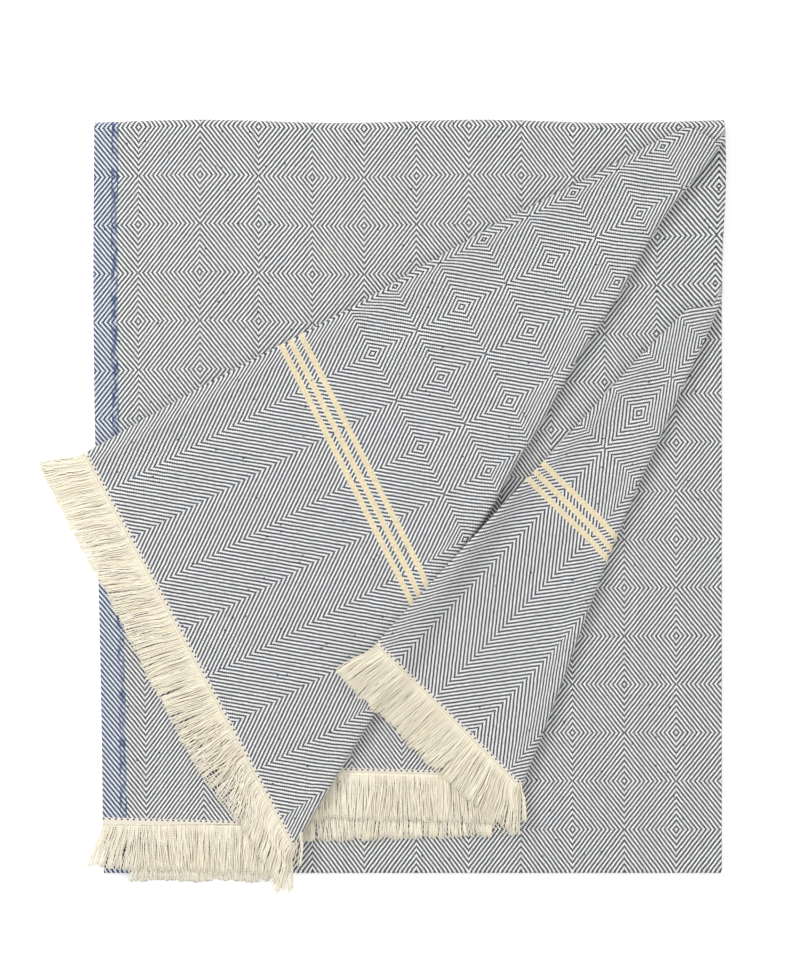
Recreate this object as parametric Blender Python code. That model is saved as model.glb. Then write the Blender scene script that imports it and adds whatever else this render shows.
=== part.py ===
"""A fringed diamond-twill blanket, folded into a flat pack with two corners turned back.

The blanket is one woven sheet. It is folded in half across its width, so that every layer of the
pack is a pair of plies joined along the right edge, with the selvedges on the left. The pair is
then folded in four along its length: end panel 1 lies on top, the ground panel on the floor, the
middle panel on that, and end panel 2 between the middle panel and end panel 1. Both fringed ends
lie at the foot, and the foot corner of each end panel is turned back to the left.

Everything is first laid out flat in cloth space, (u, v, n): u across the width, v along the
length from end 1, and n out of the face of the cloth. fold() then carries it into the pack.
Metres, +Z up, +Y towards the head of the pack; the origin is on the floor under its middle.
"""

import math

import bmesh
import bpy
from mathutils import Vector

# The sheet
CLOTH_WIDTH = 0.900
PLY_THICKNESS = 0.0012
PLY_GAP = 0.00035
PLY_PITCH = PLY_THICKNESS + PLY_GAP
PAIR_HALF = PLY_PITCH / 2 + PLY_THICKNESS / 2
END_1_SKEW = -0.025
END_2_SKEW = -0.028

# The pack that it is folded to, and where the cloth's two ends lie in it
PACK_WIDTH = 0.450
PACK_LENGTH = 0.5436
PACK_RIGHT = PACK_WIDTH / 2
PACK_LEFT = -PACK_WIDTH / 2
PACK_HEAD = PACK_LENGTH / 2
PACK_FOOT = -PACK_LENGTH / 2
END_1_Y = -0.2444
END_2_Y = -0.2053

# The fold across the width, at the right edge: its radius, and how far it is off the middle
SIDE_RADIUS = PLY_PITCH / 2
SIDE_OFFSET = 0.0015
SIDE_ARC = math.pi * SIDE_RADIUS / 2
SIDE_CENTRE = PACK_RIGHT - PLY_THICKNESS / 2 - SIDE_RADIUS

# The folds along the length, as radii of the pair's middle
OUTER_HEAD_RADIUS = 3 * PLY_PITCH
INNER_RADIUS = PLY_PITCH
INNER_HEAD_INSET = 0.003
OUTER_HEAD_Y = PACK_HEAD - OUTER_HEAD_RADIUS - PAIR_HALF
INNER_HEAD_Y = OUTER_HEAD_Y - INNER_HEAD_INSET
FOOT_Y = PACK_FOOT + INNER_RADIUS + PAIR_HALF
TOP_PANEL_Z = PAIR_HALF + 6 * PLY_PITCH
END_2_PANEL_Z = TOP_PANEL_Z - 2 * PLY_PITCH

# One row for each section of the length, from end 1 to end 2: its name, its straight length or
# its fold's radius, and the turn of a fold, 1 to the left and -1 to the right as seen from +X
SECTIONS = (
    ("end_1_panel", OUTER_HEAD_Y - END_1_Y, 0),
    ("outer_head_fold", OUTER_HEAD_RADIUS, -1),
    ("ground_panel", OUTER_HEAD_Y - FOOT_Y, 0),
    ("foot_fold", INNER_RADIUS, -1),
    ("middle_panel", INNER_HEAD_Y - FOOT_Y, 0),
    ("inner_head_fold", INNER_RADIUS, 1),
    ("end_2_panel", INNER_HEAD_Y - END_2_Y, 0),
)
SECTION_LENGTHS = [math.pi * size if turn else size for _, size, turn in SECTIONS]
CLOTH_LENGTH = sum(SECTION_LENGTHS)
END_1_PANEL_STOP = SECTION_LENGTHS[0]
END_2_PANEL_START = CLOTH_LENGTH - SECTION_LENGTHS[-1]

# The corners turned back, one row for each: where the crease starts on the right edge and ends
# at the foot, its radius, how much the turned corner is stretched away from the crease and slid
# along it, and the crease's sways (place along it, reach, shift to the right)
CREASES = {
    "end_1": {
        "start": Vector((PACK_RIGHT, OUTER_HEAD_Y)),
        "foot": Vector((-0.0867, -0.2504)),
        "radius": 0.0024,
        "stretch": 1.064,
        "slide": 0.0015,
        "sways": ((0.085, 0.090, -0.0080), (0.395, 0.085, -0.0090)),
        "floor": TOP_PANEL_Z,
    },
    "end_2": {
        "start": Vector((PACK_RIGHT, 0.1544)),
        "foot": Vector((0.0790, -0.2035)),
        "radius": 0.0024,
        "stretch": 1.038,
        "slide": 0.0093,
        "sways": ((0.190, 0.190, -0.0048),),
        "floor": END_2_PANEL_Z,
    },
}
SWAY_REACH = 0.055
SETTLED_RISE = 2 * PLY_PITCH
SETTLE_LENGTH = 0.030

# Corner 2 climbs over the crease of corner 1: the crease's shift there, the ramp beside it, and
# the room left above corner 1
CLIMB_SWAY = -0.007
CLIMB_START = 0.0055
CLIMB_LENGTH = 0.020
CLIMB_ROOM = 0.0003

# How the pack lies: soft swells, fuller folds, thin selvedges, and ends that hang past it
SWELL = 0.030
SWELL_LENGTH = 0.230
SWELL_SLANT = 0.4
FOLD_FULLNESS = 0.06
SELVEDGE_THINNING = 0.05
EDGE_REACH = 0.035
HEAD_BOW = 0.0012
HEAD_BOW_LENGTH = 0.200
HANG = 3.0
FOOT_SAG = 0.0020
FOOT_SAG_Y = -0.256
FOOT_SAG_REACH = 0.030

# How far the selvedge is drawn in from the pack's left side, at places along the cloth, and the
# part of the pack that it is drawn in over
DRAWN_IN = ((0.0, 0.0055), (0.40, -0.0012), (0.60, 0.0), (1.05, 0.0058), (1.58, 0.0), (2.10, 0.002))
DRAWN_IN_FROM = -0.090
DRAWN_IN_REACH = 0.130

# The fringe
FRINGE_LENGTH = 0.031
FRINGE_LOCKS = 50
LOCK_SHARE = 0.72
LOCK_TIP_SHARE = 0.50
LOCK_ROWS = 2
FIRST_LOCK = 0.004
LEAN_REACH = 0.045
CREASE_CLEARANCE = 0.0038
BACKING_WIDTH = 0.0022
FRINGE_THICKNESS = 0.0010
FRINGE_GAP = 0.0004

# How finely the sheet is divided
COLUMNS_A_SIDE = 8
PANEL_ROW = 0.070
SIDE_STEPS = 6
OUTER_HEAD_STEPS = 8
INNER_STEPS = 6
CREASE_STEPS = 6
SETTLE_STEPS = 3
CLIMB_STEPS = 4
CUT_TOLERANCE = 1e-6

CLOTH_COLOUR = (0.46, 0.48, 0.49, 1.0)
FRINGE_COLOUR = (0.82, 0.73, 0.54, 1.0)
COTTON_ROUGHNESS = 0.9


def smooth(x):
    """A soft step from 0 to 1."""
    x = min(max(x, 0.0), 1.0)
    return x * x * (3 - 2 * x)


def hump(distance, reach):
    """A soft hump, 1 at no distance and 0 at its reach."""
    return 0.5 + 0.5 * math.cos(math.pi * min(abs(distance) / reach, 1.0))


def table_value(rows, place):
    """Reads a table of (place, value) rows at a place between them."""
    for (low, low_value), (high, high_value) in zip(rows, rows[1:]):
        if place < high:
            return low_value + (high_value - low_value) * smooth((place - low) / (high - low))
    return rows[-1][1]


def end_1_edge(u):
    """The v of the cloth's end 1, which isn't quite square to the selvedges."""
    return END_1_SKEW * u


def end_2_edge(u):
    """The v of the cloth's end 2."""
    return CLOTH_LENGTH + END_2_SKEW * u


def fold_width(u, n):
    """Folds the cloth in half: x, and the height above the pair's middle, of a point."""
    across = u - SIDE_OFFSET
    radius = SIDE_RADIUS + n
    if abs(across) < SIDE_ARC:
        angle = across / SIDE_RADIUS
        return SIDE_CENTRE + radius * math.cos(angle), -radius * math.sin(angle)
    return SIDE_CENTRE + SIDE_ARC - abs(across), -math.copysign(radius, across)


def fold_length(v, height):
    """Folds the pair along its length: (y, z) of a point that far above the pair's middle."""
    y, z, heading = END_1_Y, TOP_PANEL_Z, 0.0
    last = len(SECTIONS) - 1
    for index, ((_, size, turn), length) in enumerate(zip(SECTIONS, SECTION_LENGTHS)):
        step = v if index == last else min(v, length)
        if turn:
            y -= turn * size * math.sin(heading)
            z += turn * size * math.cos(heading)
            heading += turn * step / size
            y += turn * size * math.sin(heading)
            z -= turn * size * math.cos(heading)
        else:
            y += step * math.cos(heading)
            z += step * math.sin(heading)
        v -= length
        if v <= 0:
            break
    return y - height * math.sin(heading), z + height * math.cos(heading)


def crease_axes(crease):
    """The crease's direction towards the foot, and the direction of the corner it turns."""
    along = (crease["foot"] - crease["start"]).normalized()
    return along, Vector((-along.y, along.x))


def crease_place(crease, point):
    """How far along the crease a point is, and how far past it."""
    along, past = crease_axes(crease)
    offset = point - crease["start"]
    return offset.dot(along), offset.dot(past)


def sway(crease, t, s):
    """How far the bowed crease shifts a point sideways."""
    shift = sum(size * hump(t - place, reach) for place, reach, size in crease["sways"])
    return shift * hump(s, SWAY_REACH)


def turned_rise(crease, distance):
    """The height of a turned corner's middle over its panel's, at a distance from the crease."""
    return 2 * crease["radius"] + (SETTLED_RISE - 2 * crease["radius"]) * smooth(distance / SETTLE_LENGTH)


def turn_back(crease, x, y, z):
    """Turns the corner past a crease back over its panel."""
    t, s = crease_place(crease, Vector((x, y)))
    along, past = crease_axes(crease)
    radius = crease["radius"]
    above = z - crease["floor"]
    arc = math.pi * radius
    if s > arc:
        distance = s - arc
        s = -crease["stretch"] * distance
        t += crease["slide"] * distance
        above = turned_rise(crease, distance) - above
    elif s > 0:
        angle = s / radius
        s = (radius - above) * math.sin(angle)
        above = radius - (radius - above) * math.cos(angle)
    place = crease["start"] + along * t + past * (s + sway(crease, t, s))
    return place.x, place.y, crease["floor"] + above


def climb(x, y):
    """How far corner 2 rises to pass over corner 1."""
    crease = CREASES["end_1"]
    _, s = crease_place(crease, Vector((x, y)))
    s -= CLIMB_SWAY
    rise = SETTLED_RISE + turned_rise(crease, max(-s, 0.0) / crease["stretch"]) + CLIMB_ROOM
    return rise * smooth(1 - (s - CLIMB_START) / CLIMB_LENGTH)


def draw_in(x, v):
    """Draws the selvedge side in, more at some places along the cloth than at others."""
    return x + table_value(DRAWN_IN, v) * smooth((DRAWN_IN_FROM - x) / DRAWN_IN_REACH)


def lie(x, y, z):
    """Lets the pack lie as soft cloth does, the same for every ply so that none meets another."""
    bow = HEAD_BOW * math.sin(2 * math.pi * x / HEAD_BOW_LENGTH)
    y += bow * smooth((y - PACK_FOOT) / PACK_LENGTH)
    slanted = 2 * math.pi * (x + SWELL_SLANT * y) / SWELL_LENGTH
    wave = math.sin(slanted) * math.cos(2 * math.pi * y / SWELL_LENGTH)
    full = max(hump(PACK_RIGHT - x, EDGE_REACH), hump(PACK_HEAD - y, EDGE_REACH))
    thin = hump(x - PACK_LEFT, EDGE_REACH)
    z *= 1 + SWELL * wave + FOLD_FULLNESS * full - SELVEDGE_THINNING * thin
    z -= HANG * (max(PACK_LEFT - x, 0.0) ** 2 + max(PACK_FOOT - y, 0.0) ** 2)
    return x, y, z


def fold(u, v, n):
    """Carries a point of the flat cloth into the folded pack."""
    x, height = fold_width(u, n)
    y, z = fold_length(v, height)
    x = draw_in(x, v)
    if v < END_1_PANEL_STOP:
        x, y, z = turn_back(CREASES["end_1"], x, y, z)
        z -= FOOT_SAG * smooth((FOOT_SAG_Y - y) / FOOT_SAG_REACH)
    elif v > END_2_PANEL_START:
        _, past = crease_place(CREASES["end_2"], Vector((x, y)))
        x, y, z = turn_back(CREASES["end_2"], x, y, z)
        if past > 0:
            z += climb(x, y)
    return Vector(lie(x, y, z))


def side_columns():
    """The u of the columns that carry the fold across the width."""
    steps = range(SIDE_STEPS + 1)
    return [SIDE_OFFSET + SIDE_ARC * (2 * step / SIDE_STEPS - 1) for step in steps]


def cloth_columns():
    """The u of every column of the cloth, from selvedge to selvedge."""
    half = CLOTH_WIDTH / 2
    folded = side_columns()
    left = [-half + (folded[0] + half) * i / COLUMNS_A_SIDE for i in range(COLUMNS_A_SIDE)]
    right = [half + (folded[-1] - half) * i / COLUMNS_A_SIDE for i in range(COLUMNS_A_SIDE)]
    return left + folded + right[::-1]


def cloth_rows():
    """The v of every row of the cloth, from end 1 to end 2."""
    rows = [0.0]
    steps_of_radius = {OUTER_HEAD_RADIUS: OUTER_HEAD_STEPS, INNER_RADIUS: INNER_STEPS}
    for (_, size, turn), length in zip(SECTIONS, SECTION_LENGTHS):
        steps = steps_of_radius[size] if turn else math.ceil(length / PANEL_ROW)
        start = rows[-1]
        rows += [start + length * step / steps for step in range(1, steps + 1)]
    return rows


def flat_sheet(columns, rows, keep=lambda column, row: True):
    """A flat sheet of faces over a grid of places, with the cells that are kept."""
    mesh = bmesh.new()
    corners = [[mesh.verts.new((u, v, 0.0)) for u in columns] for v in rows]
    for row in range(len(rows) - 1):
        for column in range(len(columns) - 1):
            if keep(column, row):
                low, high = corners[row], corners[row + 1]
                mesh.faces.new((low[column], low[column + 1], high[column + 1], high[column]))
    loose = [vert for vert in mesh.verts if not vert.link_faces]
    bmesh.ops.delete(mesh, geom=loose, context="VERTS")
    return mesh


def unfold(panel, side, place):
    """Where a place on an end panel, before its corner is turned, lies on the flat cloth."""
    u = SIDE_OFFSET + side * (SIDE_CENTRE + SIDE_ARC - place.x)
    v = place.y - END_1_Y if panel == "end_1" else CLOTH_LENGTH + END_2_Y - place.y
    return Vector((u, v, 0.0))


def is_in_ply(panel, side, centre):
    """Whether a face of the flat cloth is in one ply of an end panel."""
    if panel == "end_1":
        in_panel = centre.y < END_1_PANEL_STOP
    else:
        in_panel = centre.y > END_2_PANEL_START
    return in_panel and (centre.x - SIDE_OFFSET) * side > 0


def cut_along(mesh, may_cut, panel, side, point, direction):
    """Divides one ply of an end panel along a line, given before the corner is turned."""
    start = unfold(panel, side, point)
    line = unfold(panel, side, point + direction) - start
    faces = []
    for face in mesh.faces:
        centre = face.calc_center_median()
        if is_in_ply(panel, side, centre) and may_cut(centre):
            faces.append(face)
    edges = {edge for face in faces for edge in face.edges}
    verts = {vert for face in faces for vert in face.verts}
    bmesh.ops.bisect_plane(
        mesh, geom=faces + list(edges) + list(verts), dist=CUT_TOLERANCE,
        plane_co=start, plane_no=Vector((-line.y, line.x, 0.0)),
    )


def crease_cuts(crease):
    """The places past a crease where its panel is divided."""
    arc = math.pi * crease["radius"]
    cuts = [arc * step / CREASE_STEPS for step in range(CREASE_STEPS + 1)]
    return cuts + [arc + SETTLE_LENGTH * (step + 1) / SETTLE_STEPS for step in range(SETTLE_STEPS)]


def before_turning(crease, point):
    """Where a point of a turned corner was before the corner was turned back."""
    along, past = crease_axes(crease)
    t, s = crease_place(crease, point)
    distance = -s / crease["stretch"]
    t -= crease["slide"] * distance
    return crease["start"] + along * t + past * (math.pi * crease["radius"] + distance)


def divide_at_creases(mesh, may_cut=lambda centre: True):
    """Divides the end panels where their corners turn back, and where corner 2 climbs."""
    for panel, crease in CREASES.items():
        along, past = crease_axes(crease)
        for side in (-1, 1):
            for cut in crease_cuts(crease):
                cut_along(mesh, may_cut, panel, side, crease["start"] + past * cut, along)
    lower, upper = CREASES["end_1"], CREASES["end_2"]
    along, past = crease_axes(lower)
    ramp = [CLIMB_START + CLIMB_LENGTH * step / CLIMB_STEPS for step in range(CLIMB_STEPS + 1)]
    for place in [-SETTLE_LENGTH, -SETTLE_LENGTH / 2, 0.0] + ramp:
        point = lower["start"] + past * (place + CLIMB_SWAY)
        first = before_turning(upper, point)
        second = before_turning(upper, point + along)
        for side in (-1, 1):
            cut_along(mesh, may_cut, "end_2", side, first, second - first)


def thicken(mesh, thickness):
    """Gives a flat sheet its thickness, half to each side."""
    made = bmesh.ops.extrude_face_region(mesh, geom=mesh.faces[:], use_keep_orig=True)
    lifted = {item for item in made["geom"] if isinstance(item, bmesh.types.BMVert)}
    for vert in mesh.verts:
        vert.co.z = thickness / 2 if vert in lifted else -thickness / 2
    bmesh.ops.recalc_face_normals(mesh, faces=mesh.faces[:])


def make_object(name, mesh, collection, material):
    """Folds the flat slab, and makes an object of it."""
    for vert in mesh.verts:
        vert.co = fold(*vert.co)
    data = bpy.data.meshes.new(name)
    mesh.to_mesh(data)
    mesh.free()
    data.materials.append(material)
    made = bpy.data.objects.new(name, data)
    collection.objects.link(made)
    return made


def make_material(name, colour):
    """A plain cotton finish."""
    material = bpy.data.materials.new(name)
    material.use_nodes = True
    shader = material.node_tree.nodes["Principled BSDF"]
    shader.inputs["Base Color"].default_value = colour
    shader.inputs["Roughness"].default_value = COTTON_ROUGHNESS
    shader.inputs["Metallic"].default_value = 0.0
    return material


def make_cloth(collection, material):
    """The woven sheet with its hems."""
    mesh = flat_sheet(cloth_columns(), cloth_rows())
    for vert in mesh.verts:
        if vert.co.y == 0.0:
            vert.co.y = end_1_edge(vert.co.x)
        elif vert.co.y >= CLOTH_LENGTH - CUT_TOLERANCE:
            vert.co.y = end_2_edge(vert.co.x)
    divide_at_creases(mesh)
    thicken(mesh, PLY_THICKNESS)
    return make_object("woven_cloth", mesh, collection, material)


def past_crease(crease, u, y):
    """How far past the middle of a crease's bend a root of the fringe is."""
    x, _ = fold_width(u, 0.0)
    _, s = crease_place(crease, Vector((x, y)))
    return s - math.pi * crease["radius"] / 2


def lock_columns():
    """The u of the edges of the fringe's locks, and for each cell whether it is a lock."""
    half = CLOTH_WIDTH / 2
    folded = side_columns()
    columns, is_lock = [], []
    reach = half - FIRST_LOCK
    pitch = reach / FRINGE_LOCKS
    outer = [half - pitch * step for step in range(FRINGE_LOCKS)]
    for place in outer:
        columns += [-place, -place + pitch * LOCK_SHARE]
        is_lock += [True, False]
    columns += folded
    is_lock += [False] * len(folded)
    for place in outer[::-1]:
        columns += [place - pitch * LOCK_SHARE, place]
        is_lock += [True, False]
    return columns, is_lock[:-1]


def lean_along(crease, u, y):
    """How far across the cloth a lock leans for each metre of its length, beside a crease."""
    along, _ = crease_axes(crease)
    lean = math.copysign(along.x / along.y, u - SIDE_OFFSET)
    return lean * hump(past_crease(crease, u, y), LEAN_REACH)


def make_fringe(name, crease, edge, outward, end_y, collection, material):
    """The fringe of one end: a narrow strip along the hem, and the locks that hang from it."""
    columns, is_lock = lock_columns()
    bend = math.pi * crease["radius"] / 2 + CREASE_CLEARANCE
    for column, lock in enumerate(is_lock):
        centre = (columns[column] + columns[column + 1]) / 2
        is_lock[column] = lock and abs(past_crease(crease, centre, end_y)) > bend
    roots = FRINGE_GAP + BACKING_WIDTH
    lengths = [FRINGE_GAP, roots] + [roots + FRINGE_LENGTH * (i + 1) / LOCK_ROWS for i in range(LOCK_ROWS)]
    mesh = flat_sheet(columns, lengths, keep=lambda column, row: row == 0 or is_lock[column])
    middles = [(low + high) / 2 for low, high, lock in zip(columns, columns[1:], is_lock) if lock]
    for vert in mesh.verts:
        u, length, _ = vert.co
        free = max(length - roots, 0.0)
        if free > CUT_TOLERANCE:
            middle = min(middles, key=lambda place: abs(place - u))
            share = 1 + (LOCK_TIP_SHARE - 1) * free / FRINGE_LENGTH
            u = middle + (u - middle) * share + lean_along(crease, middle, end_y) * free
        vert.co.x = u
        vert.co.y = edge(u) + outward * length
    divide_at_creases(mesh, lambda centre: abs(centre.y - edge(centre.x)) < roots)
    thicken(mesh, FRINGE_THICKNESS)
    return make_object(name, mesh, collection, material)


def main():
    """Builds the folded blanket."""
    for old in list(bpy.data.objects):
        bpy.data.objects.remove(old, do_unlink=True)
    collection = bpy.data.collections.new("folded_blanket")
    bpy.context.scene.collection.children.link(collection)
    cloth = make_material("blue_grey_twill", CLOTH_COLOUR)
    yarn = make_material("natural_yarn", FRINGE_COLOUR)
    make_cloth(collection, cloth)
    make_fringe("fringe_end_1", CREASES["end_1"], end_1_edge, -1, END_1_Y, collection, yarn)
    make_fringe("fringe_end_2", CREASES["end_2"], end_2_edge, 1, END_2_Y, collection, yarn)


main()
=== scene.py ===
"""Dresses a folded, fringed diamond-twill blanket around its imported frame.

The blanket is one woven sheet. Every piece of it is laid out flat in cloth space, (u, v, n): u
across the width, v along the length from end 1, and n out of the face. FoldPlan then carries it
into the pack, so the weave, the stripes and every yarn of the fringe follow the same folds.
Metres, +Z up, +Y towards the head of the pack.
"""

import logging
import math
from dataclasses import dataclass, field
from enum import Enum
import bmesh
import bpy
import numpy as np
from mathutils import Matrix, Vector


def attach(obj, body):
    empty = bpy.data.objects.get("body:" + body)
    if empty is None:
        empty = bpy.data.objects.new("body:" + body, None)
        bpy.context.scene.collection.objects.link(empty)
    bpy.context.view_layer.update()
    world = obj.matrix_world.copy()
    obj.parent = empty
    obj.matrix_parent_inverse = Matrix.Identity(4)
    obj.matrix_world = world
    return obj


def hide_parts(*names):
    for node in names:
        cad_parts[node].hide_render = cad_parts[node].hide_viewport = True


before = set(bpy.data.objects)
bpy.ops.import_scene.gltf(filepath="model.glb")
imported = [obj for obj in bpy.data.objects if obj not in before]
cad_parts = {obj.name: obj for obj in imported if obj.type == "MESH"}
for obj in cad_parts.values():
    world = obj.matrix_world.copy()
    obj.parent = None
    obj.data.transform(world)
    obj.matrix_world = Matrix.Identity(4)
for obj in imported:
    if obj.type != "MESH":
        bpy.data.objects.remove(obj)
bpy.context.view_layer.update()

LOG = logging.getLogger("folded_blanket")
BODY = "root"
MILLIMETRE = 0.001
COTTON_SPECULAR = 0.25
COTTON_SHEEN_ROUGHNESS = 0.6
TURNS_1 = (
    (0.0, -15.0), (0.14, -13.0), (0.19, -4.0), (0.22, 12.0), (0.25, 34.0), (0.28, 47.0), (0.30, 49.0),
)
TURNS_2 = ((0.0, -14.0), (0.03, -4.0), (0.10, 4.0), (0.125, 20.0), (0.14, 40.0))
FLARES_1 = ((-0.45, -20.0), (-0.417, 0.0), (0.41, 0.0), (0.45, -9.0))
FLARES_2 = ((-0.45, 0.0), (0.45, 0.0))
TANGLE_1 = 3.5
Array = np.ndarray
Colour = tuple[float, float, float, float]
Span = tuple[float, float]
Rows = tuple[tuple[float, float], ...]


class ClothEnd(Enum):
    """The two fringed ends of the sheet."""

    END_1 = "end_1"
    END_2 = "end_2"


class Ply(Enum):
    """The two plies of the pair, as the sign of u."""

    LEFT_HALF = -1
    RIGHT_HALF = 1


def smooth(x: Array) -> Array:
    """A soft step from 0 to 1."""
    x = np.clip(x, 0.0, 1.0)
    return x * x * (3 - 2 * x)


def hump(distance: Array, reach: float) -> Array:
    """A soft hump, 1 at no distance and 0 at its reach."""
    return 0.5 + 0.5 * np.cos(np.pi * np.minimum(np.abs(distance) / reach, 1.0))


def soft_table(rows: Rows, place: Array) -> Array:
    """Reads a table of (place, value) rows, with a soft step between each two.

    Args:
        rows: the table, in rising order of place.
        place: where it is read.

    Returns:
        The value at each place.
    """
    value = np.full(place.shape, rows[0][1])
    for (low, low_value), (high, high_value) in zip(rows, rows[1:]):
        value += (high_value - low_value) * smooth((place - low) / (high - low))
    return value


def put_in_scene(name: str, data: bpy.types.ID) -> bpy.types.Object:
    """Adds an object with its data to the scene.

    Args:
        name: the object's name.
        data: its mesh, light or camera.

    Returns:
        The object.
    """
    made = bpy.data.objects.new(name, data)
    bpy.context.scene.collection.objects.link(made)
    return made


def write_attribute(data: bpy.types.Mesh, name: str, numbers: Array) -> None:
    """Gives every vertex of a mesh three numbers.

    Args:
        data: the mesh.
        name: the attribute's name.
        numbers: three numbers for each vertex.
    """
    layer = data.attributes.new(name, "FLOAT_VECTOR", "POINT")
    layer.data.foreach_set("vector", numbers.astype(np.float32).ravel())


@dataclass(frozen=True)
class Crease:
    """A slanting crease at which the foot corner of an end panel is turned back.

    Attributes:
        start: where the crease leaves the right edge.
        foot: where it ends at the foot.
        radius: the radius of the bend.
        stretch: how much the turned corner is stretched away from the crease.
        slide: how far it slides along the crease for each metre away from it.
        sways: rows of (place along the crease, reach, shift to the right).
        floor: the height of the panel's middle.
        outward: the direction in which the turned corner is drawn out.
        spread: how far it is drawn out, for each metre before spread_stop.
        most_spread: the most that it is drawn out.
        spread_stop: the place along the crease from which it isn't drawn out.
        edge_slope: how much wider the corner is for each metre along the crease.
    """

    start: tuple[float, float]
    foot: tuple[float, float]
    radius: float
    stretch: float
    slide: float
    sways: tuple[tuple[float, float, float], ...]
    floor: float
    outward: tuple[float, float]
    spread: float
    most_spread: float
    spread_stop: float
    edge_slope: float
    edge_inset: float = 0.0075
    spread_start: float = 0.010
    spread_reach: float = 0.030
    least_reach: float = 0.004
    sway_reach: float = 0.055
    settled_rise: float = 0.0031
    settle_length: float = 0.030

    @property
    def arc(self) -> float:
        """The length of cloth in the bend."""
        return math.pi * self.radius

    @property
    def along(self) -> Array:
        """The direction of the crease towards the foot."""
        line = np.subtract(self.foot, self.start)
        return line / np.hypot(*line)

    @property
    def past(self) -> Array:
        """The direction of the corner that it turns."""
        return np.array((-self.along[1], self.along[0]))

    def place(self, flat: Array) -> tuple[Array, Array]:
        """How far along the crease, and how far past it, each (x, y) is."""
        offset = flat - np.array(self.start)
        return offset @ self.along, offset @ self.past

    def sway(self, t: Array, s: Array) -> Array:
        """How far the bowed crease shifts each point sideways."""
        shift = sum(size * hump(t - place, reach) for place, reach, size in self.sways)
        return shift * hump(s, self.sway_reach)

    def rise(self, distance: Array) -> Array:
        """The height of the turned corner's middle over its panel's."""
        fall = self.settled_rise - 2 * self.radius
        return 2 * self.radius + fall * smooth(distance / self.settle_length)

    def drawn_out(self, t: Array, distance: Array) -> Array:
        """How far the turned corner is drawn out at a place.

        Args:
            t: the place along the crease.
            distance: how far past the bend it is.

        Returns:
            The shift at each place.
        """
        full = np.minimum(self.spread * np.maximum(self.spread_stop - t, 0.0), self.most_spread)
        width = 0.8 * (self.edge_slope * t - self.edge_inset)
        reach = np.clip(width, self.least_reach, self.spread_reach)
        return full * smooth(t / self.spread_start) * smooth(distance / reach)

    def turn_back(self, points: Array, lift: Array) -> Array:
        """Turns the corner past the crease back over its panel.

        Args:
            points: the places before the turn.
            lift: how much higher than settled each turned point lies.

        Returns:
            The places after it.
        """
        t, s = self.place(points[:, :2])
        above = points[:, 2] - self.floor
        turned = s > self.arc
        bent = (s > 0) & ~turned
        distance = np.maximum(s - self.arc, 0.0)
        angle = s / self.radius
        new_s = np.where(turned, -self.stretch * distance, s)
        new_s = np.where(bent, (self.radius - above) * np.sin(angle), new_s)
        new_t = t + self.slide * distance
        high = self.rise(distance) - above + lift * smooth(distance / self.settle_length)
        height = np.where(turned, high, above)
        height = np.where(bent, self.radius - (self.radius - above) * np.cos(angle), height)
        new_s = new_s + self.sway(new_t, new_s)
        flat = np.array(self.start) + np.outer(new_t, self.along) + np.outer(new_s, self.past)
        flat += np.outer(self.drawn_out(new_t, distance), self.outward)
        return np.column_stack((flat, self.floor + height))

    def before_turning(self, point: Array) -> Array:
        """Where a point of the turned corner was before it was turned back.

        Args:
            point: the point, as (x, y).

        Returns:
            Where it was.
        """
        t, s = self.place(point)
        distance = -s / self.stretch
        t = t - self.slide * distance
        return np.array(self.start) + self.along * t + self.past * (self.arc + distance)


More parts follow.
